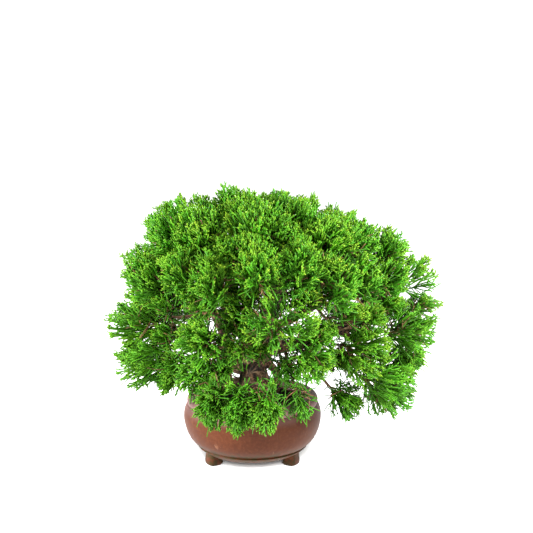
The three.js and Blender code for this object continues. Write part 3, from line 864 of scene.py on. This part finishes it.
def remeshed(points, triangles, voxel):
    """The joined outside of overlapping closed tubes: points in millimetres, quads and normals."""
    raw = mesh_object("raw_wood", points, triangles)
    modifier = raw.modifiers.new("joined", "REMESH")
    modifier.mode = "VOXEL"
    modifier.voxel_size = voxel * MM
    softer = raw.modifiers.new("softer", "SMOOTH")
    softer.factor = 0.5
    softer.iterations = 4
    mesh = raw.evaluated_get(bpy.context.evaluated_depsgraph_get()).to_mesh()
    found = values_of(mesh.vertices, "co", 3).reshape(-1, 3)
    normals = values_of(mesh.vertices, "normal", 3).reshape(-1, 3)
    quads = values_of(mesh.loops, "vertex_index", 1, np.int32).reshape(-1, 4)
    raw_mesh = raw.data
    bpy.data.objects.remove(raw)
    bpy.data.meshes.remove(raw_mesh)
    return (found - ORIGIN) / MM, quads, normals


def along_the_grain(points, paths):
    """For each point, its angle round and distance along the nearest limb, and that limb's radius."""
    centres = np.vstack([path for path, _ in paths])
    ways = np.vstack([unit(np.gradient(path, axis=0)) for path, _ in paths])
    lengths = np.concatenate([lengths_along(path) for path, _ in paths])
    sizes = np.concatenate([radii for _, radii in paths])
    tree = kdtree.KDTree(len(centres))
    for index, centre in enumerate(centres):
        tree.insert(centre, index)
    tree.balance()
    nearest = np.array([tree.find(point)[1] for point in points])
    offset = points - centres[nearest]
    way = ways[nearest]
    along = dots(offset, way)
    flat = offset - way * along[:, None]
    side = unit(np.cross(way, [0.3, 0.9, 0.1]))
    angle = np.arctan2(dots(flat, np.cross(way, side)), dots(flat, side))
    return angle, lengths[nearest] + along, sizes[nearest]


def wood_tubes(paths):
    """Closed tubes of the limbs, the root plug in the soil, and the roots that flare round it."""
    tubes = [tube(path, radii, LIMB_SIDES, closed_base=True) for path, radii in paths]
    heights = np.linspace(ROOT_PLUG["bottom"], ROOT_PLUG["top"], len(PLUG_SHOULDER))
    plug = [(ROOT_PLUG["x"], ROOT_PLUG["y"], height) for height in heights]
    plug_radii = np.linspace(ROOT_PLUG["foot"], ROOT_PLUG["radius"], len(PLUG_SHOULDER)) * PLUG_SHOULDER
    tubes.append(tube(plug, plug_radii, 28, closed_base=True))
    base = np.array([ROOT_PLUG["x"], ROOT_PLUG["y"], 0])
    for turn, length, size in FLARES:
        places = ((5, 96), (11, 87), (length - 3, 78))
        flare = [base + level_way(math.radians(turn)) * out + [0, 0, height] for out, height in places]
        radii = np.linspace(size * 1.2, size * 0.7, 12)
        tubes.append(tube(through(flare, 12), radii, 14, closed_base=True))
    return tubes


def barked(points, normals, paths):
    """Raises fibres and burls on the wood and cuts cracks in it: its points and what is painted there."""
    angle, along, size = along_the_grain(points, paths)
    twist = angle + along * 0.012
    spread = np.maximum(size, 3.0) * 0.42
    fibres = noise_at(np.stack([np.cos(twist) * spread, np.sin(twist) * spread, along * 0.055], axis=1))
    burls = noise_at(points * 0.075)
    cracks = np.clip(0.16 - np.abs(noise_at(points * 0.21)), 0, 1)
    depth = np.clip(size * 0.09, 0.15, 1.3)
    raised = fibres * depth + burls * np.clip(size * 0.11, 0, 1.5) - cracks * depth * 5
    in_open = points[:, 2] > SOIL_EDGE
    points = points + normals * (raised * in_open)[:, None]
    # The ridge value darkens the cracks as painted shade and lightens the fibres' tops as painted highlight
    ridge = np.clip(0.5 + fibres * 0.8 - cracks * 3, 0, 1)
    # Painted shade: the wood darkens towards the soil
    painted_shade_near_soil = np.clip((86 - points[:, 2]) / 10, 0, 0.8)
    grain = colour_rows(np.cos(twist) * size * 0.55, np.sin(twist) * size * 0.55, along * 0.06)
    return points, {"bark": colour_rows(ridge, painted_shade_near_soil, 0.0), "grain": grain}


def crooked_twigs():
    """The twigs' points, triangles and painted values."""
    points, triangles, _ = gathered([tube(path, radii, 7) for path, radii in twig_paths()])
    # Vector noise takes its offsets from a generator that the clock would seed
    noise.seed_set(TWIG_SEED)
    points = points + 1.1 * np.array([noise.noise_vector(Vector(point * 0.09)) for point in points])
    x, y, z = points.T
    grain = colour_rows(x * 0.4, y * 0.4, z * 0.15)
    return points, triangles, {"bark": colour_rows(np.full(len(points), 0.55), 0.0, 0.0), "grain": grain}


def add_wood(material):
    paths = limb_paths()
    points, triangles, _ = gathered(wood_tubes(paths))
    points, quads, normals = remeshed(points, triangles, WOOD_VOXEL)
    points, painted = barked(points, normals, paths)
    twig_points, twig_triangles, twig_painted = crooked_twigs()
    triangles = np.vstack([in_triangles(quads), twig_triangles + len(points)])
    both = {name: np.vstack([painted[name], twig_painted[name]]) for name in painted}
    made = mesh_object("trunk_and_limbs", np.vstack([points, twig_points]), triangles, both)
    dress(made, material, "bark", "trunk_and_branches")


# Foliage: each spray is a bunch of leaders that carry forked, scale-leaved shoots

SHOOT_LENGTH = 25.0
SHOOT_KINDS = 24
CORD_RADIUS = 0.8
TIP_RADIUS = 0.7
TIP_WAIST = 0.82
LEADER_RADII = (1.15, 0.8)
LEADER_AREA = 960.0
LEADER_STEPS = 8
SHOOTS_PER_LEADER = 6
SHORTEST_ROOM = 9.0
# Shoots and inner cords that would be pushed further than this out of the pot aren't grown
SHOOT_PUSH, CORD_PUSH = 9.0, 5.0
INNER_CORDS = 110
INNER_RADII = (0.7, 0.8, 0.6)
DRY_SHARE = 0.003
# How much of a shoot's youth shows deep in a spray and at its shell, and what is added to it; the darker
# inside is partly older foliage, partly painted shade
DENSE_GROWTH_AND_SHADE = (0.3, 1.0, 0.0)
OPEN_GROWTH_AND_SHADE = (0.5, 0.8, 0.1)

# Sight lines on which the canopy is open: pixels across and down, half sizes, share removed, and
# the depth beyond which foliage is removed
OPENINGS = [
    (266, 297, 6, 5, 0.7, -200),
    (217, 325, 3, 10, 1.0, -200),
    (224, 325, 5, 9, 1.0, -12),
    (200, 354, 18, 6, 0.35, -200),
    (268, 320, 24, 12, 0.4, -200),
    (273, 316, 24, 13, 0.95, -60),
    (351, 272, 8, 4, 0.9, -200),
    (351, 304, 7, 6, 1.0, -200),
    (340, 344, 6, 8, 0.45, -200),
    (340, 344, 9, 10, 1.0, -20),
    (198, 352, 14, 6, 0.3, -200),
    (198, 352, 16, 8, 1.0, -20),
    (286, 364, 11, 8, 0.6, -200),
    (285, 368, 14, 18, 1.0, -20),
    (252, 369, 24, 13, 0.72, -200),
    (302, 390, 13, 11, 0.6, -200),
    (238, 372, 5, 4, 1.0, -20),
    (346, 322, 12, 8, 0.6, -200),
    (417, 285, 11, 5, 0.9, -200),
    (396, 289, 7, 4, 0.7, -200),
    (411, 262, 8, 5, 0.6, -200),
    (428, 272, 6, 5, 0.7, -200),
    (409, 308, 8, 4, 0.6, -200),
    (187, 318, 7, 5, 0.75, -200),
    (153, 328, 7, 5, 0.7, -200),
    (186, 351, 8, 5, 0.75, -200),
    (161, 358, 7, 5, 0.7, -200),
]


def shoot_shape(random, bare, spacing, leans, side_plumes):
    """A shoot along +Z that bends towards +X: slim plumes side by side in one rough plane."""
    bend = random.uniform(2.0, 6.0)
    share = np.linspace(0, 1, 4)
    sway = random.uniform(-1.4, 1.4)
    centres = np.stack([bend * share**1.6, sway * np.sin(share * math.pi), SHOOT_LENGTH * share], axis=1)
    flat = random.uniform(0, math.pi)
    parts = []
    add_plume(parts, centres, flat, bare + 0.1, spacing, random)
    for index in range(side_plumes):
        at = 0.1 + 0.52 * (index + random.uniform(-0.35, 0.35)) / (side_plumes - 1)
        start = point_at(centres, at)
        turn = flat + math.pi * index + random.uniform(-0.5, 0.5)
        lean = math.radians(random.uniform(*leans))
        length = SHOOT_LENGTH * (1.02 - at) * random.uniform(0.65, 0.98)
        outward = level_way(turn) * math.sin(lean) + [bend * 0.05, 0, math.cos(lean)]
        middle = start + outward * length * 0.5
        onward = unit(outward + [bend * 0.08, 0, 0.8])
        add_plume(parts, [start, middle, middle + onward * length * 0.5], flat, bare, spacing, random)
    return gathered(parts)


def add_plume(parts, centres, flat, bare, spacing, random):
    """A cord of scale leaves with short tips on alternate sides of it above its bare part."""
    points, triangles, along = tube(centres, np.linspace(CORD_RADIUS, TIP_RADIUS, len(centres)), 3)
    young = 0.04 + 0.5 * along**1.3
    young[-1] = random.uniform(0.6, 1.0)
    parts.append((points, triangles, young))
    length = lengths_along(centres)[-1]
    count = max(round(length * (1 - bare) / spacing), 2)
    for index in range(count):
        at = bare + (0.96 - bare) * (index + random.uniform(0.1, 0.9)) / count
        start = point_at(centres, at)
        way = unit(point_at(centres, min(at + 0.05, 1)) - point_at(centres, at - 0.05))
        turn = flat + math.pi * index + random.uniform(-0.6, 0.6)
        side = unit(way + level_way(turn) * random.uniform(0.4, 0.72))
        growth = (0.15 + 0.4 * at, random.uniform(0.5, 1.0))
        add_tip(parts, start, side, random.uniform(3.6, 5.4) + 2.4 * (1 - at), growth)


def add_tip(parts, start, way, length, growth):
    """A short tip, widest past its middle and palest at its end."""
    side = unit(np.cross(way, ODD_WAY))
    turn = np.array([0.0, 1.0, 2.0]) * 2 * math.pi / 3
    ring = circled(turn, side, np.cross(way, side))
    points = np.vstack([start, start + way * length * 0.6 + ring * TIP_WAIST, start + way * length])
    triangles = np.array([(0, 2, 1), (0, 3, 2), (0, 1, 3), (1, 2, 4), (2, 3, 4), (3, 1, 4)])
    parts.append((points, triangles, np.interp([0, 0.5, 0.5, 0.5, 1], [0, 1], growth)))


def shoot_kinds(first_seed, **style):
    return [shoot_shape(np.random.default_rng(first_seed + kind), **style) for kind in range(SHOOT_KINDS)]


DENSE_SHOOTS = shoot_kinds(700, bare=0.4, spacing=4.7, leans=(20, 38), side_plumes=3)
OPEN_SHOOTS = shoot_kinds(800, bare=0.66, spacing=4.7, leans=(12, 28), side_plumes=5)


def fibonacci_directions(count, lowest, random):
    """Directions spread evenly over the part of a sphere whose third axis is above lowest."""
    index = np.arange(count) + 0.5
    height = 1 - (1 - lowest) * index / count
    turn = index * math.pi * (3 - math.sqrt(5)) + random.uniform(0, 2 * math.pi)
    flat = np.sqrt(np.maximum(1 - height**2, 0))
    spread = np.stack([flat * np.cos(turn), flat * np.sin(turn), height], axis=1)
    return unit(spread + random.normal(scale=0.1, size=spread.shape))


def room_to_shell(start, way, reach, limit):
    """How far each start may go along its way before it meets the ellipsoid of the given limit."""
    p, d = start / reach, way / reach
    a = dots(d, d)
    b = dots(p, d)
    c = dots(p, p) - limit**2
    inside = np.maximum(b * b - a * c, 0)
    return (-b + np.sqrt(inside)) / a


def frames(forward, bend):
    """Turns whose third column is forward and whose first column leans towards bend."""
    first = unit(bend - forward * dots(bend, forward)[:, None])
    return np.stack([first, np.cross(forward, first), forward], axis=2)


def lift_of(spray):
    """How far shoots turn upward, in the spray's own axes: well up the tree, and hardly low down."""
    return np.interp(spray["centre"][2], [120, 210], [0.0, 0.5]) * spray["axes"][:, 2]


def leaders_of(spray, random):
    """Curved leaders in the spray's own axes, each from the stem out to just inside the shell."""
    reach = spray["reach"]
    a, b, c = reach**1.6
    area = 2 * math.pi * ((a * b + b * c + a * c) / 3) ** (1 / 1.6)
    count = max(5, round(spray["fullness"] * area / LEADER_AREA))
    root = np.array([0, 0, -ROOT_DEPTH * reach[2]])
    leaders = []
    for direction in fibonacci_directions(count, -0.52, random):
        shell = reach * direction
        end = shell * max(1 - random.uniform(17, 27) / np.linalg.norm(shell), 0.25)
        start = root + np.array([0, 0, reach[2]]) * random.uniform(0, 0.5) * max(direction[2], 0.1)
        span = np.linalg.norm(end - start)
        final_way = unit(unit(end - start) + [0, 0, 0.6] + lift_of(spray) + random.normal(scale=0.16, size=3))
        bow = end - 0.5 * span * final_way
        t = np.linspace(0, 1, LEADER_STEPS)[:, None]
        leaders.append((1 - t) ** 2 * start + 2 * t * (1 - t) * bow + t**2 * end)
    return leaders


def shoots_on(leader, reach, lift, fullness, random):
    """Where shoots leave a leader: their starts, ways, bends and sizes. A sparse spray has fewer."""
    count = round(np.interp(fullness, [0.4, 0.9], [0.6, 1.0]) * SHOOTS_PER_LEADER)
    at = np.linspace(0.22, 1.0, count) ** 0.8 + random.uniform(-0.02, 0.02, count)
    at = np.clip(at, 0.1, 1.0)
    steps = np.linspace(0, 1, len(leader))
    starts = sampled(at, steps, leader)
    along = unit(sampled(at, steps, unit(np.gradient(leader, axis=0))))
    side = unit(np.cross(along, unit(random.normal(size=3))))
    turn = np.arange(count) * 2.4 + random.uniform(-0.4, 0.4, count)
    lean = np.radians(np.interp(at, [0.1, 0.6, 1.0], [58, 40, 14]) + random.uniform(-9, 9, count))
    ring = circled(turn, side, np.cross(along, side))
    ways = unit(np.cos(lean)[:, None] * along + np.sin(lean)[:, None] * ring + lift)
    room = room_to_shell(starts, ways, reach, limit=random.uniform(0.82, 1.05))
    size = np.clip(room * random.uniform(0.85, 1.1, count) / SHOOT_LENGTH, 0.62, 1.35)
    keep = room > SHORTEST_ROOM
    return starts[keep], ways[keep], along[keep], size[keep]


def to_tree(spray, points):
    return spray["centre"] + points @ spray["axes"]


def is_open(points, random):
    """True for points that fall in an opening of the canopy, as seen from the front."""
    across, down = in_picture(points)
    gone = np.zeros(len(points), bool)
    for u, v, half_across, half_down, share, nearest in OPENINGS:
        distance = ((across - u) / half_across) ** 2 + ((down - v) / half_down) ** 2
        within = (distance < random.uniform(0.7, 1.2, len(points))) & (points[:, 1] > nearest)
        gone |= within & (random.random(len(points)) < share)
    return gone


WALL = pot_wall()
CLEARANCE = 1.0


def clear_of_pot(points):
    """Moves points that would be inside the pot out to its wall, or up over its lip, and says how far."""
    points = points.copy()
    radius = np.hypot(points[:, 0], points[:, 1])
    top = LIP["height"] + LIP["up"] + 1.2
    wall = np.interp(points[:, 2], WALL[:, 1], WALL[:, 0], right=LIP["radius"] + LIP["across"]) + CLEARANCE
    inside = (points[:, 2] < top) & (radius < wall)
    sideways = wall - radius
    upward = top - points[:, 2]
    go_out = inside & (sideways < upward)
    go_up = inside & ~go_out
    points[:, :2] *= np.where(go_out, wall / np.maximum(radius, 1), 1)[:, None]
    points[:, 2] += np.where(go_up, upward, 0)
    return points, np.where(go_out, sideways, np.where(go_up, upward, 0))


def foliage_of(spray, seed):
    """Points, triangles and growth colours of one spray: its leaders, their shoots and its inside."""
    random = np.random.default_rng(seed)
    height = spray["centre"][2]
    parts = []
    spray_tone = random.uniform(-0.12, 0.12)
    warmth = np.interp(height, [150, 280], [0.6, 0.3])
    for leader in leaders_of(spray, random):
        points, triangles, along = tube(leader, np.linspace(*LEADER_RADII, len(leader)), 4)
        tree_points = to_tree(spray, points)
        middle = len(points) // 2
        if is_open(tree_points[middle : middle + 1], random)[0]:
            continue
        tree_points, _ = clear_of_pot(tree_points)
        tone = warmth + (spray_tone + random.uniform(-0.18, 0.18))
        growth = colour_rows(0.12 + 0.2 * along, tone, np.clip(0.8 - 1.8 * along, 0, 1))
        parts.append((tree_points, triangles, growth))
        parts.extend(shoots_of(leader, spray, tone, random))
    parts.extend(inner_cords(spray, random))
    return gathered(parts)


def shoots_of(leader, spray, tone, random):
    """The shoots on one leader, without those that fall in an opening or in the pot."""
    reach, fullness = spray["reach"], spray["fullness"]
    # Lower sprays are darker: partly fewer young tips, partly painted shade
    vigour_and_low_shade = np.interp(spray["centre"][2], [110, 200], [0.68, 1.0])
    open_share = np.interp(fullness, [0.8, 1.0], [1.0, 0.45])
    starts, ways, bends, sizes = shoots_on(leader, reach, lift_of(spray), fullness, random)
    turns = frames(ways, bends)
    tips = starts + ways * (sizes * SHOOT_LENGTH)[:, None]
    gone = is_open(to_tree(spray, (starts + tips) / 2), random)
    gone |= clear_of_pot(to_tree(spray, tips))[1] > SHOOT_PUSH
    kinds = random.integers(0, SHOOT_KINDS, len(starts))
    made = []
    for index in np.flatnonzero(~gone):
        is_bare = random.random() < open_share
        shape, faces, young = (OPEN_SHOOTS if is_bare else DENSE_SHOOTS)[kinds[index]]
        deep, full, base = OPEN_GROWTH_AND_SHADE if is_bare else DENSE_GROWTH_AND_SHADE
        placed = starts[index] + (shape * sizes[index]) @ turns[index].T
        depth = np.linalg.norm(placed / reach, axis=1)
        # Shoots are darker deep in the spray and low on the tree: partly older growth, partly painted shade
        youth_and_shade = vigour_and_low_shade * young * np.interp(depth, [0.5, 1.0], [deep, full]) + base + random.uniform(-0.1, 0.1)
        is_dry = random.random() < DRY_SHARE
        variety = np.clip(tone + random.uniform(-0.3, 0.3), 0, 1)
        tree_points, _ = clear_of_pot(to_tree(spray, placed))
        made.append((tree_points, faces, colour_rows(np.clip(youth_and_shade, 0, 1), variety, 0.4 if is_dry else 0.0)))
    return made


def inner_cords(spray, random):
    """Bare shaded twiglets that fill the inside of a spray between its leaders."""
    parts = []
    for _ in range(round(INNER_CORDS * np.interp(spray["fullness"], [0.6, 1.0], [0.2, 1.0]))):
        way = unit(random.normal(size=3))
        depth = random.uniform(0.2, 0.8)
        middle = spray["reach"] * way * depth
        along = unit(way + [0, 0, 0.5] + random.normal(scale=0.5, size=3)) * random.uniform(9, 15)
        bow = random.normal(scale=2.5, size=3)
        points, triangles, share = tube([middle - along, middle + bow, middle + along], INNER_RADII, 3)
        tree_points, moved = clear_of_pot(to_tree(spray, points))
        if is_open(tree_points[4:5], random)[0] or moved.max() > CORD_PUSH:
            continue
        woody = 0.9 if depth < 0.55 and random.random() < 0.4 else 0.0
        parts.append((tree_points, triangles, colour_rows(0.25 * share, random.uniform(0.2, 0.7), woody)))
    return parts


# The furthest that tips may reach, just beyond the tree's own box
MARGIN = 0.014 * (np.array(cad_high) - np.array(cad_low))
LOWEST = (np.array(cad_low) - MARGIN - ORIGIN) / MM
HIGHEST = (np.array(cad_high) + MARGIN - ORIGIN) / MM


def add_foliage(material):
    for index, spray in enumerate(SPRAYS):
        parts = [foliage_of(part, 4000 + index) for part in [spray, *bunches_of(spray)]]
        points, triangles, growth = gathered(parts)
        points = np.clip(points, LOWEST, HIGHEST)
        name = spray["node"].replace("spray_", "foliage_")
        made = mesh_object(name, points, triangles, {"growth": growth})
        dress(made, material, "foliage", spray["node"])


# Studio

FLOOR_HALF = 4000.0

# Softboxes: place, aim, size in millimetres, power in watts, and what each one lights
SOFTBOXES = {
    "key": ((-1500, -500, 900), (0, 0, 100), 700, 115, "rest"),
    "leaf_key": ((-700, -1100, 1400), (0, 0, 180), 600, 40, "leaves"),
    "leaf_right": ((1300, -700, 500), (60, 0, 150), 600, 165, "leaves"),
    "leaf_left": ((-1300, -700, 400), (-60, 0, 150), 600, 120, "leaves"),
    "back": ((300, 1300, 700), (0, 0, 150), 700, 70, "leaves"),
    "floor_light": ((0, -1750, 1250), (0, 0, 0), 1500, 220, "floor"),
}


def add_floor():
    signs = [(-1, -1), (1, -1), (1, 1), (-1, 1)]
    corners = [(x * FLOOR_HALF, y * FLOOR_HALF, GROUND) for x, y in signs]
    floor = mesh_object("floor", corners, [(0, 1, 2, 3)])
    made = Material("floor", roughness=0.9)
    made.finish("Base Color", made.ramp(made.noise(scale=6, detail=2), FLOOR))
    floor.data.materials.append(made.material)
    floor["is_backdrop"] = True


def add_softbox(name, place, aim, size, power):
    data = bpy.data.lights.new(name, "AREA")
    data.shape = "DISK"
    data.size = size * MM
    data.energy = power
    light = bpy.data.objects.new(name, data)
    light.location = Vector(in_frame(place))
    way = Vector(in_frame(aim)) - light.location
    light.rotation_euler = way.to_track_quat("-Z", "Y").to_euler()
    bpy.context.scene.collection.objects.link(light)
    return light


def group_of(name, pieces):
    group = bpy.data.collections.new(name)
    for piece in pieces:
        group.objects.link(piece)
    return group


def add_softboxes():
    """Each softbox lights its own pieces alone, and the pot alone casts a shadow on the floor."""
    leaves = [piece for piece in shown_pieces() if piece.name.startswith("foliage")]
    rest = [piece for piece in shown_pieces() if piece not in leaves]
    lit = {"leaves": leaves, "rest": rest, "floor": [bpy.data.objects["floor"]]}
    for name, (place, aim, size, power, pieces) in SOFTBOXES.items():
        light = add_softbox(name, place, aim, size, power)
        light.light_linking.receiver_collection = group_of(f"lit_by_{name}", lit[pieces])
    shade = group_of("shading_floor_light", [bpy.data.objects["pot_body"]])
    bpy.data.objects["floor_light"].light_linking.blocker_collection = shade


def add_world():
    world = bpy.data.worlds.new("studio")
    world.use_nodes = True
    backdrop = world.node_tree.nodes["Background"]
    backdrop.inputs["Color"].default_value = (1, 1, 1, 1)
    backdrop.inputs["Strength"].default_value = 1.1
    bpy.context.scene.world = world
    bpy.context.scene.view_settings.view_transform = "Standard"


def main():
    add_camera()
    add_floor()
    add_world()
    add_pot(clay_material())
    add_soil(soil_material())
    add_wood(bark_material())
    add_foliage(foliage_material())
    plastic = plastic_material()
    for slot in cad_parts["drain_mesh"].material_slots:
        slot.material = plastic
    add_softboxes()


main()
